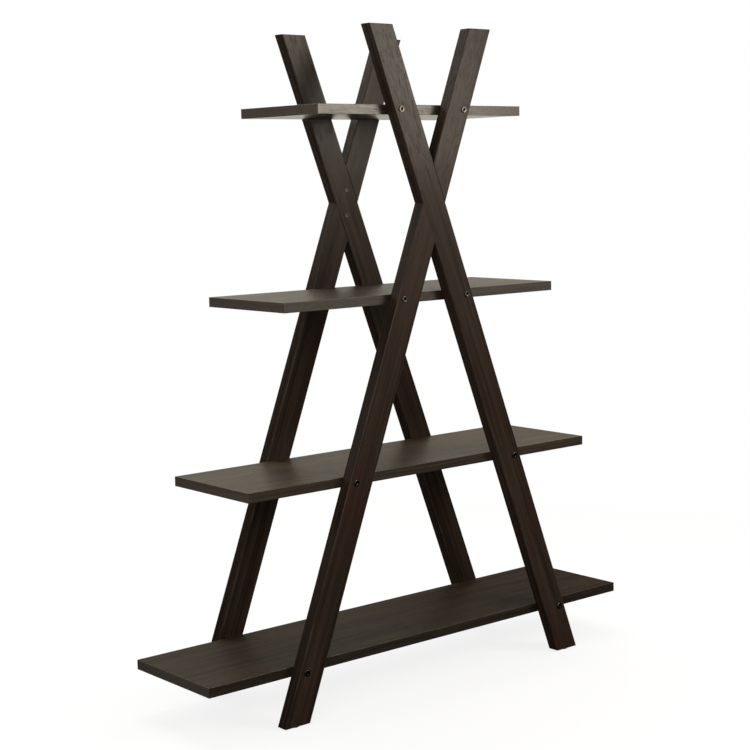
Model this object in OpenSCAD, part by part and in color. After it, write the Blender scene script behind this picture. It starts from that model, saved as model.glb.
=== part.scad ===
// Four-shelf bookcase with a crossed-leg frame at the front and another at the back.
// Millimetres, +Z up. The origin is on the floor under the middle of the bookcase.
// X runs along the shelves and the front faces -Y.

/* [Frames] */
// Height of the level tops of the legs above the floor
frame_h = 1500; // [1400:5:1650]
// Distance from the middle of the bookcase to the middle line of a leg, at the floor
foot_x = 420; // [400:2:450]
// Distance from the middle of the bookcase to the middle line of a leg, at its top
head_x = 146; // [130:2:180]
// Width of a leg, square to its length
leg_w = 62; // [54:1:74]
// Thickness of a leg, from front to back
leg_t = 30; // [26:1:40]
// Radius of the four long edges of a leg
leg_round = 2; // [1:0.5:4]
// Chamfer along the front and back edges of a leg's two ends
leg_end_chamfer = 1; // [0.5:0.5:3]

/* [Shelves] */
// Length of the top shelf
top_shelf_l = 600; // [520:5:680]
// Length of the second shelf
upper_shelf_l = 806; // [700:2:900]
// Length of the third shelf
lower_shelf_l = 1020; // [900:5:1120]
// Length of the bottom shelf
bottom_shelf_l = 1250; // [1100:5:1400]
// Height of the top shelf's upper face above the floor
top_shelf_z = 1330; // [1290:5:1380]
// Height of the second shelf's upper face above the floor
upper_shelf_z = 914; // [850:2:960]
// Height of the third shelf's upper face above the floor
lower_shelf_z = 522; // [460:2:600]
// Height of the bottom shelf's upper face above the floor
bottom_shelf_z = 127; // [90:1:200]
// Depth of every shelf, which is also the clear distance between the two frames
shelf_d = 280; // [220:5:340]
// Thickness of every shelf
shelf_t = 22; // [20:1:30]
// Thickness of the veneer edging round a shelf
edging_t = 1; // [0.6:0.2:2]
// Radius of the edging's two outer edges
edging_round = 0.8; // [0.2:0.1:1.5]
// Gap where the short strips of edging meet the long ones
edging_gap = 0.1; // [0.05:0.05:0.3]

/* [Lap joints] */
// Gap at the shoulders of the two halved legs where they cross
lap_gap = 0.2; // [0.1:0.1:0.5]
// Distance between the two screws of a crossing
lap_screw_pitch = 60; // [40:2:90]
// Diameter of a crossing screw
lap_screw_d = 4; // [3:0.5:5]
// Diameter of a crossing screw's countersunk head
lap_screw_head_d = 8; // [7:0.5:10]
// Wood left between a crossing screw's tip and the outer face of the frame
lap_screw_cover = 8; // [4:1:12]
// Gap between a crossing screw's shank and its hole
lap_screw_gap = 0.05; // [0.02:0.01:0.2]

/* [Bolts] */
// Distance from a leg's middle line to each bolt, towards the outside of the frame
bolt_offset = 15; // [12:0.5:18]
// Diameter of a bolt's shank
bolt_d = 6; // [5:1:8]
// Diameter of a bolt's flat head
bolt_head_d = 14; // [12:1:18]
// Thickness of a bolt's flat head
bolt_head_t = 2.5; // [2:0.5:4]
// Width of the hexagon socket in a bolt's head, across its flats
bolt_socket = 4; // [3:0.5:5]
// Depth of the hexagon socket in a bolt's head
bolt_socket_depth = 3.5; // [2:0.5:5]
// Gap between a bolt's shank and the holes in a leg and a shelf
bolt_gap = 0.3; // [0.1:0.1:1]
// Distance that a bolt's tip reaches past its barrel nut
bolt_past_nut = 1; // [0.5:0.5:5]

/* [Barrel nuts] */
// Diameter of a barrel nut
nut_d = 10; // [9:1:12]
// Length of a barrel nut
nut_l = 14; // [10:1:15]
// Distance from a shelf's edge to the middle of each barrel nut
nut_inset = 34; // [25:1:50]
// Gap between a barrel nut and its hole in the shelf
nut_gap = 0.1; // [0.05:0.05:0.3]
// Gap between a bolt's thread and a barrel nut's thread
thread_gap = 0.05; // [0.02:0.01:0.1]
// Width of the screwdriver slot in a barrel nut's lower end
nut_slot_w = 1.4; // [1:0.2:2]
// Depth of the screwdriver slot in a barrel nut's lower end
nut_slot_depth = 1.5; // [1:0.25:2]

/* [Dowels] */
// Distance from a leg's middle line to each dowel, towards the inside of the frame
dowel_offset = 15; // [12:0.5:18]
// Diameter of a wooden dowel
dowel_d = 8; // [6:1:10]
// Length of a wooden dowel
dowel_l = 35; // [30:1:50]
// Length of a dowel that stands in the leg
dowel_in_leg = 12; // [8:1:16]
// Chamfer at both ends of a dowel
dowel_chamfer = 1; // [0.5:0.5:2]
// Gap between a dowel and the wall of its hole
dowel_gap = 0.05; // [0.02:0.01:0.2]
// Room for glue at each end of a dowel
dowel_end_gap = 0.5; // [0.3:0.1:1]

/* [Foot glides] */
// Diameter of the plastic glide under a foot
glide_d = 22; // [16:1:24]
// Thickness of the plastic glide under a foot
glide_t = 3; // [2:0.5:6]
// Radius of the glide's lower edge
glide_round = 1; // [0.5:0.25:1.5]
// Diameter of the glide's pin
glide_pin_d = 3; // [2:0.5:5]
// Length of the glide's pin inside the foot
glide_pin_l = 14; // [8:1:20]
// Gap between the glide's pin and its hole
glide_pin_gap = 0.05; // [0.02:0.01:0.2]

/* [Hidden] */
$fn = 48;

dark_wood = [0.17, 0.12, 0.10];
edging_wood = [0.22, 0.17, 0.15];
bare_wood = [0.72, 0.56, 0.38];
black_steel = [0.27, 0.25, 0.23];
zinc_steel = [0.72, 0.73, 0.74];
black_plastic = [0.06, 0.06, 0.06];

// A cut is carried this far past a face so that it opens it cleanly
past = 1;
// Angle of a leg from upright
lean = atan((foot_x + head_x) / frame_h);
// Height at which the middle lines of two legs cross
cross_z = frame_h * foot_x / (foot_x + head_x);
// Length along a leg that is sure to reach past both of its level ends
leg_reach = frame_h / cos(lean) + 2 * leg_w;
// Middle heights of the shelves, which are also the heights of their bolts and dowels
shelf_mids = [for (z = [top_shelf_z, upper_shelf_z, lower_shelf_z, bottom_shelf_z]) z - shelf_t / 2];
// A bolt goes through the leg and the barrel nut
bolt_l = leg_t + nut_inset + nut_d / 2 + bolt_past_nut;
// A crossing screw stops short of the outer face
lap_screw_l = leg_t - lap_screw_cover;
// Length of a crossing screw's point
lap_screw_point = 1.5 * lap_screw_d;

// Distance from the middle of the bookcase to a leg's middle line at the height z.
// It is positive on the side of that leg's foot, and negative above the crossing.
function leg_x(z) = foot_x - (foot_x + head_x) * z / frame_h;

// A rectangle with rounded corners, centred on the origin
module rounded_rectangle(w, h, r) {
    square([w - 2 * r, h], center = true);
    square([w, h - 2 * r], center = true);
    for (x = [-1, 1], y = [-1, 1])
        translate([x * (w / 2 - r), y * (h / 2 - r)])
            circle(r);
}

// Turns what stands along +Z so that it lies along +Y
module along_y() {
    rotate([-90, 0, 0])
        children();
}

// Puts one frame's parts at the front of the shelves. A frame is drawn with its
// inner face on the plane y = 0 and its outer face on the plane y = -leg_t.
module front_frame() {
    translate([0, -shelf_d / 2, 0])
        children();
}

// The rear frame is the same frame, turned half round
module rear_frame() {
    rotate([0, 0, 180])
        front_frame()
            children();
}

// Puts a copy at each of the four places where legs meet a shelf, at the height z.
// The offset is counted from a leg's middle line, towards the outside of the frame.
module at_joints(z, offset) {
    for (turn = [0, 180], side = [-1, 1])
        let (x = side * leg_x(z))
            rotate([0, 0, turn])
                translate([x + sign(x) * offset, -shelf_d / 2, z])
                    children();
}

// Lays what stands along +Z on the middle line of the leg with its foot on that side
module along_leg(side) {
    translate([side * foot_x, 0, 0])
        rotate([0, -side * lean, 0])
            translate([0, 0, -leg_w])
                children();
}

// The bar that a leg is cut from, with its long edges rounded
module leg_bar(side) {
    along_leg(side)
        translate([0, -leg_t / 2, 0])
            linear_extrude(leg_reach)
                rounded_rectangle(leg_w, leg_t, leg_round);
}

// The room between the level ends of the legs, with both ends chamfered
module level_ends() {
    low = glide_t;
    high = frame_h;
    c = leg_end_chamfer;
    reach = foot_x + leg_w;
    rotate([90, 0, 90])
        translate([0, 0, -reach])
            linear_extrude(2 * reach)
                polygon([
                    [-leg_t, low + c], [c - leg_t, low], [-c, low], [0, low + c],
                    [0, high - c], [-c, high], [c - leg_t, high], [-leg_t, high - c]
                ]);
}

// What is cut from a leg for the other leg's remaining half.
// The outer leg keeps its outer half, and the inner leg keeps its inner half.
module lap_cut(side, outer) {
    cut_w = leg_w + 2 * lap_gap;
    start = outer ? -leg_t / 2 : -leg_t - past;
    along_leg(-side)
        translate([-cut_w / 2, start, 0])
            cube([cut_w, leg_t / 2 + past, leg_reach]);
}

// Places the two screws of a crossing, on the inner face of the frame
module at_lap_screws() {
    for (end = [-1, 1])
        translate([0, 0, cross_z + end * lap_screw_pitch / 2])
            rotate([90, 0, 0])
                children();
}

module lap_screw() {
    head_l = (lap_screw_head_d - lap_screw_d) / 2;
    cylinder(d1 = lap_screw_head_d, d2 = lap_screw_d, h = head_l);
    translate([0, 0, head_l])
        cylinder(d = lap_screw_d, h = lap_screw_l - lap_screw_point - head_l);
    translate([0, 0, lap_screw_l - lap_screw_point])
        cylinder(d1 = lap_screw_d, d2 = lap_screw_d / 4, h = lap_screw_point);
}

// The hole of a crossing screw, with its countersink
module lap_screw_hole() {
    d = lap_screw_d + 2 * lap_screw_gap;
    head_d = lap_screw_head_d + 2 * lap_screw_gap;
    cylinder(d = d, h = lap_screw_l);
    cylinder(d1 = head_d, d2 = d, h = (head_d - d) / 2);
    translate([0, 0, -past])
        cylinder(d = head_d, h = past);
}

// The cross recess in a crossing screw's head
module screw_recess() {
    l = lap_screw_head_d / 2;
    w = lap_screw_d / 4;
    for (turn = [0, 90])
        rotate([0, 0, turn])
            translate([-l / 2, -w / 2, -past])
                cube([l, w, past + w]);
}

// The holes of a leg's four bolts and four dowels
module joint_holes(side) {
    for (z = shelf_mids)
        let (x = side * leg_x(z)) {
            translate([x + sign(x) * bolt_offset, -leg_t - past, z])
                along_y()
                    cylinder(d = bolt_d + 2 * bolt_gap, h = leg_t + 2 * past);
            translate([x - sign(x) * dowel_offset, -dowel_in_leg - dowel_end_gap, z])
                along_y()
                    cylinder(d = dowel_d + 2 * dowel_gap, h = dowel_in_leg + dowel_end_gap + past);
        }
}

module glide_pin_hole(side) {
    translate([side * leg_x(glide_t), -leg_t / 2, glide_t - past])
        cylinder(d = glide_pin_d + 2 * glide_pin_gap, h = past + glide_pin_l + glide_pin_gap);
}

module leg(side, outer) {
    color(dark_wood)
        difference() {
            intersection() {
                leg_bar(side);
                level_ends();
            }
            lap_cut(side, outer);
            joint_holes(side);
            at_lap_screws()
                lap_screw_hole();
            glide_pin_hole(side);
        }
}

// A strip of edging along X, with its back on the plane y = 0 and its outer edges rounded
module edging_strip(l) {
    r = min(edging_round, edging_t);
    rotate([90, 0, 90])
        translate([0, 0, -l / 2])
            linear_extrude(l)
                intersection() {
                    translate([-edging_t, -shelf_t / 2])
                        square([edging_t, shelf_t]);
                    translate([shelf_t / 2 - edging_t, 0])
                        rounded_rectangle(shelf_t, shelf_t, r);
                }
}

// The holes of a shelf's four bolts and four dowels, through its edging and its board
module shelf_holes(z) {
    at_joints(z, bolt_offset)
        translate([0, -past, 0])
            along_y()
                cylinder(d = bolt_d + 2 * bolt_gap, h = past + bolt_l - leg_t + bolt_gap);
    at_joints(z, -dowel_offset)
        translate([0, -past, 0])
            along_y()
                cylinder(d = dowel_d + 2 * dowel_gap, h = past + dowel_l - dowel_in_leg + dowel_end_gap);
}

// The blind holes of the barrel nuts, open at the underside of the shelf
module nut_holes(z) {
    at_joints(z, bolt_offset)
        translate([0, nut_inset, -shelf_t / 2 - past])
            cylinder(d = nut_d + 2 * nut_gap, h = past + shelf_t / 2 + nut_l / 2 + nut_gap);
}

module shelf(l, z) {
    core = [l - 2 * edging_t, shelf_d - 2 * edging_t, shelf_t];
    color(dark_wood)
        difference() {
            translate([-core.x / 2, -core.y / 2, z - shelf_t / 2])
                cube(core);
            shelf_holes(z);
            nut_holes(z);
        }
}

// Four strips: the long ones cover the ends of the short ones
module edging(l, z) {
    color(edging_wood)
        difference() {
            translate([0, 0, z]) {
                for (turn = [0, 180])
                    rotate([0, 0, turn])
                        translate([0, edging_t - shelf_d / 2, 0])
                            edging_strip(l);
                for (turn = [-90, 90])
                    rotate([0, 0, turn])
                        translate([0, edging_t - l / 2, 0])
                            edging_strip(shelf_d - 2 * (edging_t + edging_gap));
            }
            shelf_holes(z);
        }
}

module bolt() {
    chamfer = bolt_head_t / 4;
    tip = bolt_d / 8;
    difference() {
        union() {
            translate([0, 0, -bolt_head_t])
                cylinder(d1 = bolt_head_d - 2 * chamfer, d2 = bolt_head_d, h = chamfer);
            translate([0, 0, chamfer - bolt_head_t])
                cylinder(d = bolt_head_d, h = bolt_head_t - chamfer);
            cylinder(d = bolt_d, h = bolt_l - tip);
            translate([0, 0, bolt_l - tip])
                cylinder(d1 = bolt_d, d2 = bolt_d - 2 * tip, h = tip);
        }
        translate([0, 0, -bolt_head_t - past])
            cylinder(d = bolt_socket / cos(30), h = past + bolt_socket_depth, $fn = 6);
    }
}

module bolts(z) {
    color(black_steel)
        at_joints(z, bolt_offset)
            translate([0, -leg_t, 0])
                along_y()
                    bolt();
}

module barrel_nut() {
    difference() {
        translate([0, 0, -nut_l / 2])
            cylinder(d = nut_d, h = nut_l);
        translate([0, -nut_d, 0])
            along_y()
                cylinder(d = bolt_d + 2 * thread_gap, h = 2 * nut_d);
        translate([-nut_d, -nut_slot_w / 2, -nut_l / 2 - past])
            cube([2 * nut_d, nut_slot_w, past + nut_slot_depth]);
    }
}

module barrel_nuts(z) {
    color(zinc_steel)
        at_joints(z, bolt_offset)
            translate([0, nut_inset, 0])
                barrel_nut();
}

module dowel() {
    c = dowel_chamfer;
    cylinder(d1 = dowel_d - 2 * c, d2 = dowel_d, h = c);
    translate([0, 0, c])
        cylinder(d = dowel_d, h = dowel_l - 2 * c);
    translate([0, 0, dowel_l - c])
        cylinder(d1 = dowel_d, d2 = dowel_d - 2 * c, h = c);
}

module dowels(z) {
    color(bare_wood)
        at_joints(z, -dowel_offset)
            translate([0, -dowel_in_leg, 0])
                along_y()
                    dowel();
}

module crossing_screws() {
    color(black_steel)
        at_lap_screws()
            difference() {
                lap_screw();
                screw_recess();
            }
}

module glide() {
    rotate_extrude() {
        square([glide_d / 2 - glide_round, glide_t]);
        translate([0, glide_round])
            square([glide_d / 2, glide_t - glide_round]);
        intersection() {
            translate([glide_d / 2 - glide_round, glide_round])
                circle(glide_round);
            square([glide_d, glide_t]);
        }
        square([glide_pin_d / 2, glide_t + glide_pin_l]);
    }
}

module foot_glides() {
    color(black_plastic)
        for (x = [-1, 1], y = [-1, 1])
            translate([x * leg_x(glide_t), y * (shelf_d + leg_t) / 2, 0])
                glide();
}

front_frame() leg(-1, false);  // front_leg_left
front_frame() leg(1, true);  // front_leg_right
rear_frame() leg(1, true);  // rear_leg_left
rear_frame() leg(-1, false);  // rear_leg_right
shelf(top_shelf_l, shelf_mids[0]);  // top_shelf
shelf(upper_shelf_l, shelf_mids[1]);  // upper_shelf
shelf(lower_shelf_l, shelf_mids[2]);  // lower_shelf
shelf(bottom_shelf_l, shelf_mids[3]);  // bottom_shelf
edging(top_shelf_l, shelf_mids[0]);  // top_shelf_edging
edging(upper_shelf_l, shelf_mids[1]);  // upper_shelf_edging
edging(lower_shelf_l, shelf_mids[2]);  // lower_shelf_edging
edging(bottom_shelf_l, shelf_mids[3]);  // bottom_shelf_edging
bolts(shelf_mids[0]);  // top_shelf_bolts
bolts(shelf_mids[1]);  // upper_shelf_bolts
bolts(shelf_mids[2]);  // lower_shelf_bolts
bolts(shelf_mids[3]);  // bottom_shelf_bolts
barrel_nuts(shelf_mids[0]);  // top_shelf_barrel_nuts
barrel_nuts(shelf_mids[1]);  // upper_shelf_barrel_nuts
barrel_nuts(shelf_mids[2]);  // lower_shelf_barrel_nuts
barrel_nuts(shelf_mids[3]);  // bottom_shelf_barrel_nuts
dowels(shelf_mids[0]);  // top_shelf_dowels
dowels(shelf_mids[1]);  // upper_shelf_dowels
dowels(shelf_mids[2]);  // lower_shelf_dowels
dowels(shelf_mids[3]);  // bottom_shelf_dowels
front_frame() crossing_screws();  // front_crossing_screws
rear_frame() crossing_screws();  // rear_crossing_screws
foot_glides();
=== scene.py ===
# %% [markdown]
# # A four-shelf bookcase on two crossed-leg frames
# The CAD model of the bookcase is finished: four boards hang between two frames of
# crossed legs, held by bolts, dowels and barrel nuts. This lesson gives it its looks.
# It sets up a camera and a small studio, makes the wood, metal and plastic, and models
# the fasteners in more detail than the CAD model has.
#
# The first step loads the CAD model as a fixed frame. Its parts are never moved, so
# their measured places can be trusted by everything that follows.

# %% Load the bookcase
from math import atan, atan2, cos, pi, radians, sin

import bmesh
import bpy
from mathutils import Matrix, Vector


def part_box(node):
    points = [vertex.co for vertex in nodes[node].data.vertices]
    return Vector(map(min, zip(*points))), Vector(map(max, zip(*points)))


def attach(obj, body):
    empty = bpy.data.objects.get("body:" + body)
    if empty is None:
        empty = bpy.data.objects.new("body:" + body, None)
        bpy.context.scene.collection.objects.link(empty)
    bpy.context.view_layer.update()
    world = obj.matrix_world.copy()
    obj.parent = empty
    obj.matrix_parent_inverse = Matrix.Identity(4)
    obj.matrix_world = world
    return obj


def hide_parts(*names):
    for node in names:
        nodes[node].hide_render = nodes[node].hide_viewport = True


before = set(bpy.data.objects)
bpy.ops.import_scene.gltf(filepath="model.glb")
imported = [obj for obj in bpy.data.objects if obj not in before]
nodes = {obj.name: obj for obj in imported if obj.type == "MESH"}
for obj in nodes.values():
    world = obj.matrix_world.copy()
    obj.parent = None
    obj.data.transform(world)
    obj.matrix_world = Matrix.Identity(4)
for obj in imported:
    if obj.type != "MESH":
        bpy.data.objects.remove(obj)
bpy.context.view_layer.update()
scene = bpy.context.scene

# %% [markdown]
# ## Sizes of the boards
# The grain has to run along each leg, and the legs lean. A leg's lean follows from where
# its middle line meets the floor and where it meets the level top, so these few sizes are
# written once, in metres, and checked against the loaded parts.

# %% Note the sizes of legs and shelves
FRAME_HEIGHT = 1.500
FOOT_X = 0.420
HEAD_X = 0.146
LEG_WIDTH = 0.062
LEG_THICKNESS = 0.030
GLIDE_THICKNESS = 0.003
LEG_LEAN = atan((FOOT_X + HEAD_X) / FRAME_HEIGHT)
SHELF_NAMES = ("top_shelf", "upper_shelf", "lower_shelf", "bottom_shelf")


def middle(node):
    """The middle of a part's box, and its size."""
    low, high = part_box(node)
    return (low + high) / 2, high - low


leg_middle, leg_size = middle("front_leg_right")
# The level ends are wider than the leg, and the lower one lies a glide above the floor
reach = (FOOT_X + HEAD_X) * (1 - GLIDE_THICKNESS / FRAME_HEIGHT) + LEG_WIDTH / cos(LEG_LEAN)
assert abs(leg_size.x - reach) < 1e-4
assert abs(leg_size.y - LEG_THICKNESS) < 1e-4
assert abs(leg_middle.z + leg_size.z / 2 - FRAME_HEIGHT) < 1e-4
for shelf_name in SHELF_NAMES:
    print(shelf_name, "is", round(middle(shelf_name + "_edging")[1].x, 4), "m long")
print("a leg leans", round(LEG_LEAN * 180 / pi, 2), "degrees")

# %% [markdown]
# ## The camera
# A photograph of furniture is often taken from a little below the top of the piece, so
# that upright lines stay nearly upright. The camera here stands to the left of the
# bookcase at about the height of the crossings and looks a few degrees down. A long lens
# keeps the nearer shelf ends from swelling. The camera is placed by its own three axes,
# because it is also rolled by about a degree.

# %% Place the camera
CAMERA_PLACE = Vector((-2.43566, -2.86761, 1.17938))
CAMERA_YAW = radians(39.876)
CAMERA_PITCH = radians(-7.093)
CAMERA_ROLL = radians(1.1886)
IMAGE_WIDTH = 750
FOCAL_PIXELS = 1618.91
SENSOR_WIDTH = 36
# The lens axis meets the picture half a pixel right of its middle and half a pixel below
LENS_SHIFT = 0.5 / IMAGE_WIDTH


def camera_axes(yaw, pitch, roll):
    """The camera's right, up and backward directions as the columns of a matrix."""
    forward = Vector((sin(yaw) * cos(pitch), cos(yaw) * cos(pitch), sin(pitch)))
    level = Vector((cos(yaw), -sin(yaw), 0))
    down = forward.cross(level)
    right = level * cos(roll) + down * sin(roll)
    up = level * sin(roll) - down * cos(roll)
    return Matrix((right, up, -forward)).transposed()


lens = bpy.data.cameras.new("camera")
lens.sensor_width = SENSOR_WIDTH
lens.lens = SENSOR_WIDTH * FOCAL_PIXELS / IMAGE_WIDTH
lens.shift_x = -LENS_SHIFT
lens.shift_y = LENS_SHIFT
camera = bpy.data.objects.new("camera", lens)
axes = camera_axes(CAMERA_YAW, CAMERA_PITCH, CAMERA_ROLL)
camera.matrix_world = Matrix.Translation(CAMERA_PLACE) @ axes.to_4x4()
scene.collection.objects.link(camera)
scene.camera = camera
scene.view_settings.view_transform = "Standard"
print("lens", round(lens.lens, 2), "mm")

# %% [markdown]
# ## Small helpers for shader nodes
# Every finish below is a network of nodes. Making a node, filling some of its inputs and
# linking others is the same short job each time, so one function does it. The others
# name the sums that come up again and again, and begin and end a material.


# %% Helpers for node networks
def add_node(tree, kind, inputs=None, **settings):
    """Adds a shader node, sets its options, and fills or links its inputs."""
    node = tree.nodes.new("ShaderNode" + kind)
    for name, value in settings.items():
        setattr(node, name, value)
    for name, value in (inputs or {}).items():
        if isinstance(value, bpy.types.NodeSocket):
            tree.links.new(value, node.inputs[name])
        else:
            node.inputs[name].default_value = value
    return node


def reckon(tree, operation, first, second=0.0):
    """A sum of two values."""
    return add_node(tree, "Math", {0: first, 1: second}, operation=operation).outputs[0]


def times(tree, first, second):
    """One value times another."""
    return reckon(tree, "MULTIPLY", first, second)


def reckon_vector(tree, operation, first, second=(0, 0, 0)):
    """A sum of two vectors."""
    inputs = {0: first, 1: second}
    return add_node(tree, "VectorMath", inputs, operation=operation).outputs[0]


def enlarge(tree, vector, factor):
    """The vector times a number, which sets how many clouds of noise fit in a metre."""
    return reckon_vector(tree, "MULTIPLY", vector, (factor, factor, factor))


def length_of(tree, vector):
    """How long a vector is."""
    return add_node(tree, "VectorMath", {0: vector}, operation="LENGTH").outputs["Value"]


def split(tree, vector):
    """The three values of a vector."""
    return add_node(tree, "SeparateXYZ", {0: vector}).outputs


def combine(tree, *values):
    """A vector of three values."""
    return add_node(tree, "CombineXYZ", dict(enumerate(values))).outputs[0]


def object_place(tree):
    """The place of the shaded point, in metres."""
    return add_node(tree, "TexCoord").outputs["Object"]


def spread(tree, value, low, high, new_low=0.0, new_high=1.0):
    """Brings a value from one range to another, smoothly and without passing its ends."""
    inputs = {0: value, 1: low, 2: high, 3: new_low, 4: new_high}
    return add_node(tree, "MapRange", inputs, interpolation_type="SMOOTHSTEP").outputs[0]


def noise(tree, vector, detail=2.0, roughness=0.5):
    """A cloudy value round 0.5, one cloud to each unit of the vector."""
    inputs = {"Vector": vector, "Scale": 1.0, "Detail": detail, "Roughness": roughness}
    return add_node(tree, "TexNoise", inputs).outputs[0]


def mix_colours(tree, share, first, second):
    """The first colour where the share is 0, and the second where it is 1."""
    inputs = {0: share, 6: first, 7: second}
    return add_node(tree, "Mix", inputs, data_type="RGBA").outputs[2]


def start_material(name):
    """An empty node material, and its network."""
    material = bpy.data.materials.new(name)
    material.use_nodes = True
    material.node_tree.nodes.clear()
    return material, material.node_tree


def tidy_up(tree):
    """Puts the nodes in columns, each to the left of what it feeds."""
    column = {node: 0 for node in tree.nodes}
    for _ in tree.nodes:
        for link in tree.links:
            column[link.from_node] = max(column[link.from_node], column[link.to_node] + 1)
    rows = {}
    for node in tree.nodes:
        row = rows.setdefault(column[node], 0)
        node.location = (-240 * column[node], -220 * row)
        rows[column[node]] = row + 1


def finish_material(material, shader):
    """Links the shader to the surface."""
    tree = material.node_tree
    add_node(tree, "OutputMaterial", {"Surface": shader.outputs[0]})
    tidy_up(tree)
    print("material", material.name, "with", len(tree.nodes), "nodes")
    return material


print("node helpers ready")

# %% [markdown]
# ## The studio
# The bookcase stands on a pale floor in front of white, lit by one large soft lamp on the
# right, a wide fill from the left, a soft top light and a weak one at the back. The white
# comes from the world and the floor themselves: a ray from the camera, or one mirrored by
# the varnish or the bolts, finds plain white, while the light that falls on the wood keeps
# its own level. Under the bookcase the floor is partly an ordinary matt surface, so its
# shadow shows. Seen from beneath, the floor is clear, so the undersides can be seen.

# %% Make the white world
AMBIENT = 0.45


def seen_rays(tree):
    """1 for rays from the camera and for mirrored and refracted ones, else 0."""
    ray = add_node(tree, "LightPath").outputs
    mirrored = reckon(tree, "MAXIMUM", ray["Is Glossy Ray"], ray["Is Transmission Ray"])
    return reckon(tree, "MAXIMUM", ray["Is Camera Ray"], mirrored)


world = bpy.data.worlds.new("white_studio")
scene.world = world
world.use_nodes = True
sky = world.node_tree
sky.nodes.clear()
level = add_node(sky, "MapRange", {0: seen_rays(sky), 3: AMBIENT, 4: 1.0}).outputs[0]
background = add_node(sky, "Background", {"Color": (1, 1, 1, 1), "Strength": level})
add_node(sky, "OutputWorld", {"Surface": background.outputs[0]})
tidy_up(sky)
print("ambient light", AMBIENT)

# %% Lay the floor
FLOOR_RADIUS = 12.0
# The floor turns plain white between these two distances from its middle
SHADOW_REACH = (1.1, 2.2)
WHITE_SHARE = 0.84
FLOOR_GREY = (0.8, 0.8, 0.8, 1)


def add_shape(operator, name, **settings):
    """Adds a primitive, as the Add menu does, and names it."""
    bpy.ops.object.select_all(action="DESELECT")
    operator(**settings)
    shape = bpy.context.object
    shape.name = name
    return shape


disc = {"vertices": 96, "radius": FLOOR_RADIUS, "fill_type": "NGON"}
floor = add_shape(bpy.ops.mesh.primitive_circle_add, "floor", **disc)

paint, tree = start_material("pale_floor")
far = spread(tree, length_of(tree, object_place(tree)), *SHADOW_REACH)
glow_share = reckon(tree, "MAXIMUM", far, WHITE_SHARE)
grey = reckon(tree, "SUBTRACT", 1.0, glow_share)
matt_colour = add_node(tree, "CombineColor", {0: grey, 1: grey, 2: grey}).outputs[0]
matt = add_node(tree, "BsdfDiffuse", {"Color": matt_colour})
glow = add_node(tree, "Emission", {"Strength": glow_share})
seen = add_node(tree, "AddShader", {0: matt.outputs[0], 1: glow.outputs[0]})
plain = add_node(tree, "BsdfDiffuse", {"Color": FLOOR_GREY})
both = add_node(tree, "MixShader", {0: seen_rays(tree), 1: plain.outputs[0], 2: seen.outputs[0]})
clear = add_node(tree, "BsdfTransparent")
from_below = add_node(tree, "NewGeometry").outputs["Backfacing"]
whole = add_node(tree, "MixShader", {0: from_below, 1: both.outputs[0], 2: clear.outputs[0]})
floor.data.materials.append(finish_material(paint, whole))
print("floor radius", FLOOR_RADIUS, "m")

# %% Hang the lamps
WARM = (1.0, 0.91, 0.78)
SOFT = (1.0, 0.97, 0.92)
PLAIN = (1.0, 0.99, 0.97)


def studio_lamp(name, place, aim_height, size, power, colour):
    """A soft rectangular lamp that looks at the bookcase's middle line at a height."""
    light = bpy.data.lights.new(name, "AREA")
    light.shape = "RECTANGLE"
    light.size, light.size_y = size
    light.energy = power
    light.color = colour
    lamp = bpy.data.objects.new(name, light)
    lamp.location = place
    way = Vector((0, 0, aim_height)) - Vector(place)
    lamp.rotation_euler = way.to_track_quat("-Z", "Y").to_euler()
    lamp.visible_camera = False
    scene.collection.objects.link(lamp)


studio_lamp("key_lamp", (1.32, -2.14, 1.63), 1.40, (1.00, 0.84), 39, WARM)
studio_lamp("fill_lamp", (-3.2, -2.2, 2.2), 0.80, (2.0, 2.0), 48, SOFT)
studio_lamp("top_lamp", (0.2, 0.6, 3.2), 0.80, (2.2, 1.6), 46, PLAIN)
studio_lamp("back_lamp", (-0.15, 2.4, 2.9), 0.70, (1.4, 1.4), 24, SOFT)
print("four lamps")

# %% [markdown]
# ## A black tray that only reflections see
# White all round turns dark varnish grey. A photographer hides that with black cloth
# and cards that stand outside the picture, so that the varnish mirrors them. Here a flat
# tray with an upright rim does it, and a narrow card stands on the rim at the back left.
# Only mirrored rays find them, so they show in no picture and take no light away from
# the wood.

# %% Put down the black tray
TRAY_RADIUS = 1.4
TRAY_RIM = 0.70
# The tray lies just clear of the floor
TRAY_LIFT = 0.001
BLACK = (0.02, 0.02, 0.02, 1)


def for_mirrors_only(card, material):
    """Puts a card in the studio that nothing but mirrored rays can find."""
    for ray in ("camera", "diffuse", "transmission", "volume_scatter", "shadow"):
        setattr(card, "visible_" + ray, False)
    card.data.materials.append(material)


disc = {"vertices": 64, "radius": TRAY_RADIUS, "fill_type": "NGON", "location": (0, 0, TRAY_LIFT)}
tray = add_shape(bpy.ops.mesh.primitive_circle_add, "black_tray", **disc)
bpy.ops.object.mode_set(mode="EDIT")
bpy.ops.mesh.select_mode(type="EDGE")
bpy.ops.mesh.select_all(action="SELECT")
bpy.ops.mesh.extrude_edges_move(TRANSFORM_OT_translate={"value": (0, 0, TRAY_RIM)})
bpy.ops.object.mode_set(mode="OBJECT")
cloth, tree = start_material("black_cloth")
finish_material(cloth, add_node(tree, "BsdfDiffuse", {"Color": BLACK}))
for_mirrors_only(tray, cloth)
print("tray with", len(tray.data.polygons), "faces")

# %% Stand a black card on its rim
CARD_WIDTH = 0.60
CARD_HEIGHT = 0.75
CARD_TURN = radians(34)

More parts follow.
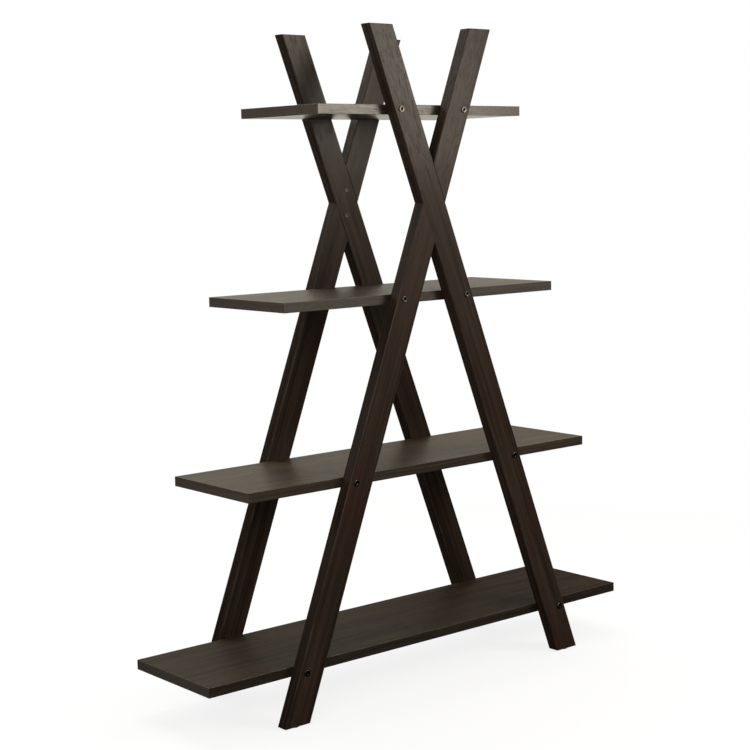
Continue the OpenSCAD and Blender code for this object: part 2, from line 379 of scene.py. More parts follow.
card_x = -TRAY_RADIUS * sin(CARD_TURN)
card_y = TRAY_RADIUS * cos(CARD_TURN)
card_z = TRAY_RIM + CARD_HEIGHT / 2
card = add_shape(
    bpy.ops.mesh.primitive_plane_add,
    "black_card",
    size=1,
    location=(card_x, card_y, card_z),
    rotation=(pi / 2, 0, CARD_TURN),
)
card.scale = (CARD_WIDTH, CARD_HEIGHT, 1)
for_mirrors_only(card, cloth)
print("black card", CARD_WIDTH, "by", CARD_HEIGHT, "m")

# %% [markdown]
# ## A cream wall for the reflections
# Mirrored in varnish, a plain white room looks cold. A ring of cream paper round the
# whole studio, behind the lamps, gives the varnish a warmer white to mirror. As with the
# tray, only mirrored rays find it.

# %% Stand up the cream wall
WALL_RADIUS = 4.6
WALL_HEIGHT = 4.0
CREAM = (1.0, 0.96, 0.80, 1)

wall = add_shape(
    bpy.ops.mesh.primitive_cylinder_add,
    "cream_wall",
    vertices=64,
    radius=WALL_RADIUS,
    depth=WALL_HEIGHT,
    end_fill_type="NOTHING",
    location=(0, 0, WALL_HEIGHT / 2),
)
paper, tree = start_material("cream_paper")
finish_material(paper, add_node(tree, "Emission", {"Color": CREAM, "Strength": 1.0}))
for_mirrors_only(wall, paper)
print("cream wall", WALL_HEIGHT, "m high")

# %% [markdown]
# ## Wood grain as a node group
# Stained wood looks dark and plain from afar, and close up it is made of layers: long soft
# streaks, year rings, fine fibres and short open pores. The rings are wavy circles round a
# pith that lies outside the board, and the rest is noise that is stretched along it. The
# group takes a place in the board's own directions, with X along the grain, so that it
# serves legs, shelves and edging alike. It is a solid pattern: on a sawn end the same
# rings show as arcs and the fibres as dots.


# %% Helpers for node groups
def start_group(name, inputs, outputs):
    """An empty node group, with the sockets inside it to read from and to fill."""
    group = bpy.data.node_groups.new(name, "ShaderNodeTree")
    for label, kind, value in inputs:
        socket = group.interface.new_socket(label, in_out="INPUT", socket_type="NodeSocket" + kind)
        if value is not None:
            socket.default_value = value
    for label in outputs:
        group.interface.new_socket(label, in_out="OUTPUT", socket_type="NodeSocketFloat")
    given = group.nodes.new("NodeGroupInput").outputs
    result = group.nodes.new("NodeGroupOutput").inputs
    return group, given, result


def finish_group(group, result, **values):
    """Links the values to the group's outputs."""
    for label, value in values.items():
        group.links.new(value, result[label])
    tidy_up(group)
    print("node group", group.name, "with", len(group.nodes), "nodes")
    return group


def stretched(tree, vector, along, across):
    """The vector scaled by one value along the grain and another across it."""
    return reckon_vector(tree, "MULTIPLY", vector, combine(tree, along, across, across))


print("node group helpers ready")

# %% Make the wood grain group
# How widely the grain wanders from a straight line
WANDER = (0.0, 0.014, 0.014)
# Added to a place, this measures it from the pith
PITH_OFFSET = (0.0, 0.045, 0.085)
# How many rings the noise moves a year ring by at most
RING_WAVER = 2.2
# What each layer gives to the tone
STREAK_SHARE = 0.46
RING_SHARE = 0.20
BROAD_SHARE = 0.22
FIBRE_SHARE = 0.12


def make_grain_group():
    """Mixes the layers. Each call of stretched gives clouds per metre, along and across."""
    group, given, result = start_group(
        "wood_grain",
        [("Vector", "Vector", None), ("Streak Width", "Float", 0.009), ("Ring Spacing", "Float", 0.006)],
        ["Tone", "Red", "Pores", "Fibre"],
    )
    vector = given["Vector"]
    cloud = add_node(group, "TexNoise", {"Vector": stretched(group, vector, 1.3, 5.0), "Scale": 1.0})
    drift = reckon_vector(group, "SUBTRACT", cloud.outputs["Color"], (0.5, 0.5, 0.5))
    drift = reckon_vector(group, "MULTIPLY", drift, WANDER)
    vector = reckon_vector(group, "ADD", vector, drift)
    # Streaks of darker and paler wood
    across = reckon(group, "DIVIDE", 1.0, given["Streak Width"])
    streaks = noise(group, stretched(group, vector, 2.6, across), 3.0, 0.6)
    broad = noise(group, stretched(group, vector, 1.1, 22.0), 2.0)
    # Year rings
    from_pith = reckon_vector(group, "ADD", vector, PITH_OFFSET)
    from_pith = reckon_vector(group, "MULTIPLY", from_pith, (0.0, 1.0, 1.0))
    rings = reckon(group, "DIVIDE", length_of(group, from_pith), given["Ring Spacing"])
    uneven = times(group, noise(group, stretched(group, vector, 1.2, 30.0)), RING_WAVER)
    rings = times(group, reckon(group, "ADD", rings, uneven), 2 * pi)
    rings = spread(group, reckon(group, "SINE", rings), -1.0, 1.0)
    # Fine fibres and short pores
    fibre = noise(group, stretched(group, vector, 12.0, 620.0), 2.0, 0.6)
    pores = spread(group, noise(group, stretched(group, vector, 38.0, 1250.0), 1.0), 0.60, 0.70)
    # The layers together
    tone = times(group, spread(group, streaks, 0.30, 0.70), STREAK_SHARE)
    tone = reckon(group, "ADD", tone, times(group, rings, RING_SHARE))
    broad = times(group, spread(group, broad, 0.3, 0.7), BROAD_SHARE)
    tone = reckon(group, "ADD", tone, broad)
    tone = reckon(group, "ADD", tone, times(group, fibre, FIBRE_SHARE))
    red = spread(group, noise(group, stretched(group, given["Vector"], 3.1, 14.0), 2.0), 0.42, 0.72)
    return finish_group(group, result, Tone=tone, Red=red, Pores=pores, Fibre=fibre)


grain_group = make_grain_group()

# %% [markdown]
# ## Worn and highlit edges as a node group
# Stain is rubbed off first where two faces meet, and a sanded edge takes less of it to
# begin with. The same pale line also stands for the highlight that a rounded edge catches,
# so it is partly rubbed stain and partly a painted highlight. A board's faces are flat, so
# the distance to its nearest edge is known without looking at the mesh: of a point's
# distances to the three pairs of faces, the smallest is to the face that it lies on, and the
# second smallest is to the next face, which is where the edge is. Noise makes the pale line
# come and go.


# %% Make the worn and highlit edge group
def make_wear_and_highlight_group():
    """The mark is 1 on an edge and falls to 0 within its width: rubbed stain and a painted highlight."""
    group, given, result = start_group(
        "worn_and_highlit_edges",
        [("Distances", "Vector", None), ("Vector", "Vector", None), ("Width", "Float", 0.003)],
        ["Wear"],
    )
    to_faces = split(group, given["Distances"])
    smaller = reckon(group, "MINIMUM", to_faces[0], to_faces[1])
    larger = reckon(group, "MAXIMUM", to_faces[0], to_faces[1])
    to_edge = reckon(group, "MAXIMUM", smaller, reckon(group, "MINIMUM", larger, to_faces[2]))
    patchy = noise(group, stretched(group, given["Vector"], 9.0, 60.0), 3.0, 0.65)
    reach = times(group, given["Width"], spread(group, patchy, 0.32, 0.68, 0.25, 1.0))
    near = reckon(group, "SUBTRACT", 1.0, reckon(group, "DIVIDE", to_edge, reach))
    return finish_group(group, result, Wear=spread(group, near, 0.0, 1.0))


wear_and_highlight_group = make_wear_and_highlight_group()

# %% [markdown]
# ## Stained wood
# The legs and boards have the same espresso stain under a satin varnish. The colour goes
# from nearly black in the dark streaks to a warm brown in the pale ones, with redder
# patches where the wood took the stain differently. The pores are darker and a little
# sunk. The varnish mirrors least on the legs and most on the shelves' edging.

# %% Build a stained wood
# The tones that take the darkest and the palest colour of the stain
DARK_TONE = 0.18
PALE_TONE = 0.82
RED_SHARE = 0.55
PORE_SHARE = 0.6
RELIEF_DEPTH = 0.00012


def use_group(tree, group, inputs):
    """Places a node group in a material."""
    return add_node(tree, "Group", inputs, node_tree=group).outputs


def solid_shader(tree, inputs, height, strength, depth):
    """A solid surface with a relief of a strength and a depth in metres."""
    relief = {"Height": height, "Strength": strength, "Distance": depth}
    normal = add_node(tree, "Bump", relief).outputs[0]
    return add_node(tree, "BsdfPrincipled", {**inputs, "Normal": normal})


def stained_wood(material, vector, distances, look, rough=None, calm=0.0, fade=0.0):
    """Finishes a wood material whose board directions and edge distances are given.

    Calm takes its relief away, and fade brings its colour towards the pale edge colour.
    """
    tree = material.node_tree
    rough = look["rough"] if rough is None else rough
    inputs = {"Vector": vector, "Streak Width": look["streak"], "Ring Spacing": look["ring"]}
    grain = use_group(tree, grain_group, inputs)
    inputs = {"Distances": distances, "Vector": vector, "Width": look["worn_highlight_width"]}
    wear_and_highlight = use_group(tree, wear_and_highlight_group, inputs)["Wear"]
    ramp = add_node(tree, "ValToRGB", {0: grain["Tone"]})
    dark_stop, pale_stop = ramp.color_ramp.elements
    dark_stop.position = DARK_TONE
    dark_stop.color = (*look["dark"], 1)
    pale_stop.position = PALE_TONE
    pale_stop.color = (*look["pale"], 1)
    redness = times(tree, grain["Red"], RED_SHARE)
    colour = mix_colours(tree, redness, ramp.outputs[0], (*look["red"], 1))
    colour = mix_colours(tree, fade, colour, (*look["worn_and_highlit"], 1))
    sunk = times(tree, grain["Pores"], PORE_SHARE)
    colour = mix_colours(tree, sunk, colour, (*look["pore"], 1))
    # Pale edges: partly rubbed stain, partly a painted highlight along the rounded edges
    worn_and_highlit = times(tree, wear_and_highlight, look["worn_highlight_share"])
    colour = mix_colours(tree, worn_and_highlit, colour, (*look["worn_and_highlit"], 1))
    # The varnish is duller over fibres and pores, and sinks into the pores
    roughness = reckon(tree, "ADD", rough, spread(tree, grain["Fibre"], 0.25, 0.75, -0.05, 0.06))
    roughness = reckon(tree, "ADD", roughness, times(tree, grain["Pores"], 0.12))
    height = reckon(tree, "SUBTRACT", grain["Fibre"], times(tree, grain["Pores"], 1.4))
    height = times(tree, height, reckon(tree, "SUBTRACT", 1.0, calm))
    surface = {"Base Color": colour, "Roughness": roughness, "Specular IOR Level": look["gloss"]}
    shader = solid_shader(tree, surface, height, look["relief"], RELIEF_DEPTH)
    return finish_material(material, shader)


print("wood helpers ready")

# %% [markdown]
# ## Legs
# Each leg is sawn from its own board, so each has its own place in the solid grain and
# its own lean. A Mapping node set to texture mode undoes the lean: after it, X runs up the
# leg, Y through its thickness and Z across its width. The distance to the level ends is
# measured straight up and down, because the ends are cut level.

# %% Dress the legs
LEG_LOOK = dict(
    streak=0.010,
    ring=0.0062,
    dark=(0.0090, 0.0061, 0.0043),
    pale=(0.0310, 0.0205, 0.0140),
    red=(0.0250, 0.0122, 0.0082),
    pore=(0.0050, 0.0030, 0.0022),
    # The pale edge colour, width and share: partly rubbed stain, partly a painted highlight
    worn_and_highlit=(0.0850, 0.0540, 0.0360),
    worn_highlight_width=0.0032,
    worn_highlight_share=0.55,
    rough=0.23,
    gloss=0.085,
    relief=0.5,
)
# The side of each leg's foot, -1 left or 1 right, and where in the solid grain it is sawn
LEGS = {
    "front_leg_left": (-1, (0.0, 0.00, 0.00)),
    "front_leg_right": (1, (7.3, 0.02, 0.01)),
    "rear_leg_left": (-1, (13.1, -0.01, 0.02)),
    "rear_leg_right": (1, (21.7, 0.01, -0.01)),
}


def leg_wood(name, side, offset):
    """The stained wood of one leg."""
    material, tree = start_material(name + "_wood")
    place = object_place(tree)
    turn = (0.0, -(pi / 2 + side * LEG_LEAN), 0.0)
    foot = (side * FOOT_X, middle(name)[0].y, 0.0)
    inputs = {"Vector": place, "Location": foot, "Rotation": turn}
    board = add_node(tree, "Mapping", inputs, vector_type="TEXTURE").outputs[0]
    aside = split(tree, reckon_vector(tree, "ABSOLUTE", board))
    height = split(tree, place)[2]
    to_floor_end = reckon(tree, "SUBTRACT", height, GLIDE_THICKNESS)
    to_top_end = reckon(tree, "SUBTRACT", FRAME_HEIGHT, height)
    distances = combine(
        tree,
        reckon(tree, "MINIMUM", to_floor_end, to_top_end),
        reckon(tree, "SUBTRACT", LEG_THICKNESS / 2, aside[1]),
        reckon(tree, "SUBTRACT", LEG_WIDTH / 2, aside[2]),
    )
    moved = reckon_vector(tree, "ADD", board, offset)
    return stained_wood(material, moved, distances, LEG_LOOK)


def dress(name, material):
    """Gives a CAD part its finish."""
    for slot in nodes[name].material_slots:
        slot.material = material


for leg_name, (side, offset) in LEGS.items():
    dress(leg_name, leg_wood(leg_name, side, offset))

# %% [markdown]
# ## Shelves and their edging
# The shelves are veneered boards. Their grain runs from end to end, and thin strips of
# veneer cover the four sawn edges. On the short strips the grain runs along the strip too,
# which is across the shelf: there the surface looks along X, and the network swaps the
# two level directions. The short strips are sanded across and come out duller and a
# little paler. Nothing wears the undersides, so their varnish stays smooth and keeps its
# shine. No two boards take the stain quite alike, and the bottom one is darkened further
# as painted shade, because it lies in the shade of the boards above.

# %% Dress the shelves
SHELF_LOOK = dict(
    LEG_LOOK,
    streak=0.013,
    ring=0.0085,
    dark=(0.0160, 0.0107, 0.0060),
    pale=(0.0550, 0.0370, 0.0195),
    red=(0.0430, 0.0215, 0.0110),
    # A narrower pale edge line: partly rubbed stain, partly a painted highlight
    worn_highlight_width=0.0014,
    worn_highlight_share=0.35,
    rough=0.42,
    gloss=0.11,
    relief=0.3,
)
EDGING_LOOK = dict(
    SHELF_LOOK,
    dark=(0.0105, 0.0076, 0.0050),
    pale=(0.0310, 0.0225, 0.0140),
    red=(0.0240, 0.0130, 0.0080),
    rough=0.30,
    gloss=0.38,
)
END_ROUGH = 0.75
END_FADE = 0.22
UNDERSIDE_ROUGH = 0.24
UNDERSIDE_CALM = 0.8
# The upward parts of a surface's direction between which it turns into an underside
FACING_DOWN = (-0.5, -0.9)
# Each board's colours are scaled by its share; the bottom board's low share is painted shade
STAIN_AND_SHADE_SHARES = {"top_shelf": 1.0, "upper_shelf": 0.95, "lower_shelf": 1.08, "bottom_shelf": 0.72}


def scaled_look(look, share):
    """The same look with all of its stain colours darker or paler."""
    colours = {name: tuple(share * value for value in look[name]) for name in ("dark", "pale", "red")}
    return dict(look, **colours)


def shelf_wood(name, offset, edging):
    """The stained veneer of one shelf, or of its edging."""
    part = name + "_edging" if edging else name
    look = scaled_look(EDGING_LOOK if edging else SHELF_LOOK, STAIN_AND_SHADE_SHARES[name])
    material, tree = start_material(part + "_wood")
    place = object_place(tree)
    centre, size = middle(name + "_edging")
    board = add_node(tree, "Mapping", {"Vector": place, "Location": tuple(-centre)}).outputs[0]
    aside = reckon_vector(tree, "ABSOLUTE", board)
    distances = reckon_vector(tree, "SUBTRACT", tuple(size / 2), aside)
    outward = split(tree, add_node(tree, "NewGeometry").outputs["True Normal"])
    if not edging:
        moved = reckon_vector(tree, "ADD", board, offset)
        rough = spread(tree, outward[2], *FACING_DOWN, look["rough"], UNDERSIDE_ROUGH)
        calm = spread(tree, outward[2], *FACING_DOWN, 0.0, UNDERSIDE_CALM)
        return stained_wood(material, moved, distances, look, rough, calm)
    parts = split(tree, board)
    swapped = combine(tree, parts[1], parts[0], parts[2])
    faces_end = reckon(tree, "GREATER_THAN", reckon(tree, "ABSOLUTE", outward[0]), 0.7)
    chosen = add_node(tree, "Mix", {0: faces_end, 4: board, 5: swapped}, data_type="VECTOR")
    moved = reckon_vector(tree, "ADD", chosen.outputs[1], offset)
    rough = spread(tree, faces_end, 0.0, 1.0, look["rough"], END_ROUGH)
    fade = times(tree, faces_end, END_FADE)
    return stained_wood(material, moved, distances, look, rough, fade=fade)


for number, shelf_name in enumerate(SHELF_NAMES):
    offset = (31.0 + 5.3 * number, 0.013 * number, 0.004 * number)
    dress(shelf_name, shelf_wood(shelf_name, offset, False))
    dress(shelf_name + "_edging", shelf_wood(shelf_name, (offset[0] + 2.1, 0.03, 0.02), True))

# %% [markdown]
# ## Helpers for modelling
# The fasteners in the CAD model are plain. Here each is modelled again with its thread,
# flutes and rounded rims, in the way that it would be done by hand: add a primitive at its
# size, open it in edit mode, select faces or edges, and inset, extrude, bevel or scale
# them. These helpers do the selecting by height, because a script has no mouse.

# %% Helpers for modelling
# Corners nearer in height than this count as level
SAME_HEIGHT = 1e-5
# Edges flatter than this are shaded smooth
SMOOTH_ANGLE = radians(35)


def open_shape(operator, name, **settings):
    """Adds a primitive where it belongs, and opens it with nothing selected."""
    shape = add_shape(operator, name, **settings)
    bpy.ops.object.transform_apply(location=True, rotation=True, scale=True)
    bpy.ops.object.mode_set(mode="EDIT")
    bpy.ops.mesh.select_all(action="DESELECT")
    return shape


def open_cylinder(name, sides, radius, height, middle_height=0.0, **settings):
    """Adds a cylinder and opens it."""
    sizes = {"vertices": sides, "radius": radius, "depth": height}
    place = (0, 0, middle_height)
    return open_shape(bpy.ops.mesh.primitive_cylinder_add, name, location=place, **sizes, **settings)


def pick(kind, test):
    """Selects the faces, edges or corners of the open shape that pass a test."""
    bpy.ops.mesh.select_mode(type=kind)
    bpy.ops.mesh.select_all(action="DESELECT")
    mesh = bmesh.from_edit_mesh(bpy.context.object.data)
    parts = {"FACE": mesh.faces, "EDGE": mesh.edges, "VERT": mesh.verts}[kind]
    chosen = [part for part in parts if test(part)]
    for part in chosen:
        part.select_set(True)
    mesh.select_flush_mode()
    bmesh.update_edit_mesh(bpy.context.object.data)
    return len(chosen)


def level_at(height):
    """A test for edges and faces whose corners all lie at one height."""
    return lambda part: all(abs(corner.co.z - height) < SAME_HEIGHT for corner in part.verts)


def extrude_up(distance):
    """Extrudes what is selected straight up."""
    bpy.ops.mesh.extrude_region_move(TRANSFORM_OT_translate={"value": (0, 0, distance)})


def narrow(factor):
    """Scales what is selected towards the upright axis."""
    bpy.ops.transform.resize(value=(factor, factor, 1), center_override=(0, 0, 0))


def round_off(height, width, segments):
    """Bevels the edges at one height."""
    pick("EDGE", level_at(height))
    bpy.ops.mesh.bevel(offset=width, segments=segments)


def close_shape():
    """Turns the faces outwards, shades the shape and leaves edit mode."""
    bpy.ops.mesh.select_all(action="SELECT")
    bpy.ops.mesh.normals_make_consistent(inside=False)
    bpy.ops.object.mode_set(mode="OBJECT")
    bpy.ops.object.shade_smooth_by_angle(angle=SMOOTH_ANGLE)


def make_active(*shapes):
    """Selects these shapes and makes the first the active one."""
    bpy.ops.object.select_all(action="DESELECT")
    for shape in shapes:
        shape.select_set(True)
    bpy.context.view_layer.objects.active = shapes[0]


def carve(shape, cutter):
    """Closes the open cutter, cuts it out of the shape and removes it."""
    close_shape()
    make_active(shape)
    cut = shape.modifiers.new("cut", "BOOLEAN")
    cut.operation = "DIFFERENCE"
    cut.solver = "EXACT"
    cut.object = cutter
    bpy.ops.object.modifier_apply(modifier=cut.name)
    bpy.data.objects.remove(cutter)


def join(first, *others):
    """Joins shapes into the first of them."""
    make_active(first, *others)
    bpy.ops.object.join()
    return first


print("modelling helpers ready")

# %% [markdown]
# ## A thread
# A screw thread is a small ridge that winds round a core. A triangle with its tip
# outwards, turned and lifted by a Screw modifier, gives the ridge. It sinks a little into
# the core, so that no gap shows, and both of its ends are closed.

# %% Helper that winds a thread
STEPS_PER_TURN = 18


def wind_thread(crest, ridge, pitch, start, turns):
    """A right-handed ridge with its crest at one radius, rising from a height."""
    shape = open_shape(
        bpy.ops.mesh.primitive_circle_add,
        "thread",
        vertices=3,
        radius=ridge,
        fill_type="NOTHING",
        location=(crest - ridge, 0, start),
        rotation=(pi / 2, pi / 2, 0),
    )
    bpy.ops.object.mode_set(mode="OBJECT")
    winding = shape.modifiers.new("winding", "SCREW")
    winding.axis = "Z"
    winding.screw_offset = pitch
    winding.iterations = turns
    winding.steps = winding.render_steps = STEPS_PER_TURN
    bpy.ops.object.modifier_apply(modifier=winding.name)
    bpy.ops.object.mode_set(mode="EDIT")
    pick("EDGE", lambda edge: edge.is_boundary)
    bpy.ops.mesh.fill_holes(sides=3)
    close_shape()
    return shape


print("thread helper ready")

# %% [markdown]
# ## Connector bolts
# Each leg is held to each shelf by a bolt with a flat head and a hexagon socket. The head
# lies on the face of the leg, so its rounded rim and the socket are what shows. The plain
# shank passes through the leg, and the threaded end reaches the barrel nut. One bolt is
# modelled from a cylinder as tall as the head, and the shank is extruded from it. A
# narrow inset ring inside the rounded rim keeps the face of the head flat in the light.

# %% Model a bolt
HEAD_RADIUS = 0.0070
HEAD_HEIGHT = 0.0025
HEAD_ROUNDING = 0.0008
HEAD_RING = 0.0003
SHANK_RADIUS = 0.0030
SHANK_LENGTH = 0.028
CORE_RADIUS = 0.00245
CORE_STEP = 0.0004
BOLT_LENGTH = 0.070
TIP_LENGTH = 0.0008
TIP_SHARE = 0.7

bolt = open_cylinder("bolt", 64, HEAD_RADIUS, HEAD_HEIGHT, -HEAD_HEIGHT / 2)
round_off(-HEAD_HEIGHT, HEAD_ROUNDING, 4)
pick("FACE", level_at(-HEAD_HEIGHT))
bpy.ops.mesh.inset(thickness=HEAD_RING)
pick("FACE", level_at(0))
bpy.ops.mesh.inset(thickness=HEAD_RADIUS - SHANK_RADIUS)
extrude_up(SHANK_LENGTH)
extrude_up(CORE_STEP)
narrow(CORE_RADIUS / SHANK_RADIUS)
extrude_up(BOLT_LENGTH - SHANK_LENGTH - CORE_STEP - TIP_LENGTH)
extrude_up(TIP_LENGTH)
narrow(TIP_SHARE)
close_shape()
print("plain bolt with", len(bolt.data.polygons), "faces")

# %% Sink the socket and wind the thread
# The socket takes a key of 4 mm across its flats
SOCKET_RADIUS = 0.002 / cos(pi / 6)
SOCKET_DEPTH = 0.0035
# The mouth is cut by a cone whose middle lies at the face of the head
MOUTH_LENGTH = 0.0008
MOUTH_FLARE = 0.0006
MOUTH_INSET = 0.0002
THREAD_PITCH = 0.001
THREAD_RIDGE = 0.0004
THREAD_GAP = 0.0006

socket = open_cylinder("socket", 6, SOCKET_RADIUS, 2 * SOCKET_DEPTH, -HEAD_HEIGHT)
carve(bolt, socket)
mouth = open_shape(
    bpy.ops.mesh.primitive_cone_add,
    "mouth",
    vertices=64,
    radius1=SOCKET_RADIUS + MOUTH_FLARE,
    radius2=SOCKET_RADIUS - MOUTH_INSET,
    depth=MOUTH_LENGTH,
    location=(0, 0, -HEAD_HEIGHT),
)
carve(bolt, mouth)
turns = int((BOLT_LENGTH - SHANK_LENGTH) / THREAD_PITCH) - 2
thread_start = SHANK_LENGTH + THREAD_GAP
join(bolt, wind_thread(SHANK_RADIUS, THREAD_RIDGE, THREAD_PITCH, thread_start, turns))
print("bolt with", len(bolt.data.polygons), "faces and", turns, "turns of thread")

# %% [markdown]
# ## Barrel nuts
# A barrel nut is a short steel cylinder that drops into a blind hole in the underside of
# the shelf. The bolt passes through its side, and the slot in its lower end is there to
# turn that hole towards the bolt. It is a cylinder with bevelled rims, cut twice.

# %% Model a barrel nut
NUT_RADIUS = 0.005
NUT_LENGTH = 0.014
NUT_BEVEL = 0.0005
NUT_HOLE_RADIUS = 0.00305
# Both cutters are longer than the nut is wide
CUTTER_LENGTH = 0.02
SLOT_WIDTH = 0.0014
# Half of this cutter's height sinks into the nut
SLOT_HEIGHT = 0.003

nut = open_cylinder("nut", 64, NUT_RADIUS, NUT_LENGTH)
round_off(-NUT_LENGTH / 2, NUT_BEVEL, 2)
round_off(NUT_LENGTH / 2, NUT_BEVEL, 2)
close_shape()
hole = open_cylinder("hole", 48, NUT_HOLE_RADIUS, CUTTER_LENGTH, rotation=(pi / 2, 0, 0))
carve(nut, hole)
slot = open_shape(
    bpy.ops.mesh.primitive_cube_add,
    "slot",
    size=1,
    scale=(CUTTER_LENGTH, SLOT_WIDTH, SLOT_HEIGHT),
    location=(0, 0, -NUT_LENGTH / 2),
)
carve(nut, slot)
make_active(nut)
bpy.ops.object.shade_smooth_by_angle(angle=SMOOTH_ANGLE)
print("barrel nut with", len(nut.data.polygons), "faces")

# %% [markdown]
# ## Dowels
# A beech dowel beside each bolt keeps the leg from turning on it. Its flutes let glue and
# air escape from the blind holes. Every fourth side face is inset and pushed in to make
# a flute, and the ends are chamfered so that the dowel finds its hole.

# %% Model a dowel
DOWEL_RADIUS = 0.004
DOWEL_LENGTH = 0.035
DOWEL_SIDES = 64
DOWEL_CHAMFER = 0.001
FLUTE_INSET = 0.00006
FLUTE_DEPTH = 0.0003
# In square metres. The faces of the chamfers are smaller
LONG_FACE = 5e-6

dowel = open_cylinder("dowel", DOWEL_SIDES, DOWEL_RADIUS, DOWEL_LENGTH, DOWEL_LENGTH / 2)
round_off(0, DOWEL_CHAMFER, 2)
round_off(DOWEL_LENGTH, DOWEL_CHAMFER, 2)


def is_flute(face):
    """Every fourth of the long side faces, counted by its direction."""
    turn = atan2(face.normal.y, face.normal.x) * DOWEL_SIDES / (2 * pi)
    is_side = face.calc_area() > LONG_FACE and abs(face.normal.z) < 0.1
    return is_side and round(turn - 0.5) % 4 == 0


flutes = pick("FACE", is_flute)
bpy.ops.mesh.inset(thickness=FLUTE_INSET, depth=-FLUTE_DEPTH, use_individual=True)
close_shape()
print("dowel with", flutes, "flutes")

# %% [markdown]
# ## Crossing screws
# Two countersunk screws hold each halved crossing from its hidden inner face. Their heads
# are flush with the wood and have a cross recess. The shank is extruded and scaled step
# by step, and the thread is narrowed towards the point in small steps with it.

# %% Model a crossing screw
SCREW_HEAD_RADIUS = 0.004
SCREW_RIM = 0.0003
# How far each stretch rises, and the share of the width that is left at its end, for the
# countersink, the neck, the step to the core, the core and the point
SCREW_STRETCHES = ((0.0020, 0.46), (0.0040, 1.0), (0.0006, 0.71), (0.0091, 1.0), (0.0059, 0.25))

screw = open_cylinder("screw", 48, SCREW_HEAD_RADIUS, SCREW_RIM, SCREW_RIM / 2)
pick("FACE", level_at(SCREW_RIM))
for rise, share in SCREW_STRETCHES:
    extrude_up(rise)
    narrow(share)
close_shape()
print("plain screw with", len(screw.data.polygons), "faces")

# %% Wind its thread and narrow it towards the point
POINT_START = 0.016
POINT_STEPS = 16
POINT_STEP = 0.00025
POINT_SHARE = 0.96

screw_thread = wind_thread(crest=0.0020, ridge=0.00055, pitch=0.0018, start=0.0075, turns=7)
make_active(screw_thread)
bpy.ops.object.mode_set(mode="EDIT")
for step in range(POINT_STEPS):
    height = POINT_START + POINT_STEP * step
    pick("VERT", lambda corner: corner.co.z > height)
    narrow(POINT_SHARE)
bpy.ops.object.mode_set(mode="OBJECT")
print("screw thread with", len(screw_thread.data.polygons), "faces")

# %% Cut the cross recess
RECESS_WIDTH = 0.0044
BLADE_THICKNESS = 0.0009
BLADE_SHARE = 0.4

for turn in (0, pi / 2):
    blade = open_shape(
        bpy.ops.mesh.primitive_cube_add,
        "blade",
        size=1,
        scale=(RECESS_WIDTH, BLADE_THICKNESS, RECESS_WIDTH),
        rotation=(0, 0, turn),
    )
    pick("FACE", level_at(RECESS_WIDTH / 2))
    narrow(BLADE_SHARE)
    carve(screw, blade)
join(screw, screw_thread)
print("crossing screw with", len(screw.data.polygons), "faces")

# %% [markdown]
# ## Foot glides
# Each foot stands on a black plastic glide, so that the end grain stays off the floor. The
# pad has a rounded lower edge and a shallow well, and a nail through its middle holds it.
# Pads and nails are separate pieces, because one is plastic and the other steel.

# %% Model a glide
GLIDE_RADIUS = 0.011
LOWER_ROUNDING = 0.001
UPPER_ROUNDING = 0.0003
WELL_RADIUS = 0.0045
WELL_DEPTH = 0.0012
WELL_SHARE = 0.9

pad = open_cylinder("pad", 72, GLIDE_RADIUS, GLIDE_THICKNESS, GLIDE_THICKNESS / 2)
round_off(0, LOWER_ROUNDING, 4)
round_off(GLIDE_THICKNESS, UPPER_ROUNDING, 2)
pick("FACE", level_at(0))
bpy.ops.mesh.inset(thickness=GLIDE_RADIUS - LOWER_ROUNDING - WELL_RADIUS)
extrude_up(WELL_DEPTH)
narrow(WELL_SHARE)
close_shape()
print("pad with", len(pad.data.polygons), "faces")

# %% Model its nail
NAIL_HEAD_RADIUS = 0.0034
NAIL_HEAD_HEIGHT = 0.0006
NAIL_HEAD_ROUNDING = 0.0002
NAIL_RADIUS = 0.0014
NAIL_NECK = 0.005
# The shank grips the wood with rings, which narrow slowly and widen at once
NAIL_RINGS = 9
RING_SLOPE = 0.0007
RING_STEP = 0.0001
RING_NARROWING = 0.86
NAIL_POINT = 0.0032
NAIL_POINT_SHARE = 0.15

head_middle = WELL_DEPTH - NAIL_HEAD_HEIGHT / 2
nail = open_cylinder("nail", 40, NAIL_HEAD_RADIUS, NAIL_HEAD_HEIGHT, head_middle)
round_off(WELL_DEPTH - NAIL_HEAD_HEIGHT, NAIL_HEAD_ROUNDING, 2)
pick("FACE", level_at(WELL_DEPTH))
bpy.ops.mesh.inset(thickness=NAIL_HEAD_RADIUS - NAIL_RADIUS)
extrude_up(NAIL_NECK)
for _ in range(NAIL_RINGS):
    extrude_up(RING_SLOPE)
    narrow(RING_NARROWING)
    extrude_up(RING_STEP)
    narrow(1 / RING_NARROWING)
extrude_up(NAIL_POINT)
narrow(NAIL_POINT_SHARE)
close_shape()
print("nail with", len(nail.data.polygons), "faces")

# %% [markdown]
# ## Metal as a node group
# Bolts, nuts and nails are turned on a lathe, and plated or blackened afterwards. The group
# gives what they share: cloudy patches of thicker and thinner plating, fine turning marks
# round the axis, and a rim that is rubbed bright. A point's distance from the axis of its
# own bolt isn't known to a joined mesh, so each corner's place on the model is stored as
# an attribute before the model is copied, and the distance is worked out from that.


# %% Store each corner's place
def note_place(shape):
    """Stores each corner's place on the upright model."""
    places = shape.data.attributes.new("on_model", "FLOAT_VECTOR", "POINT")
    for corner in shape.data.vertices:
        places.data[corner.index].vector = corner.co


models = (bolt, nut, dowel, screw, pad, nail)
for shape in models:
    note_place(shape)
print("places stored on", len(models), "models")

# %% Make the turned metal group
PATCHES_PER_METRE = 420
RUBS_PER_METRE = 900
MARK_SPACING = 0.00032
RUB_WIDTH = 0.0010


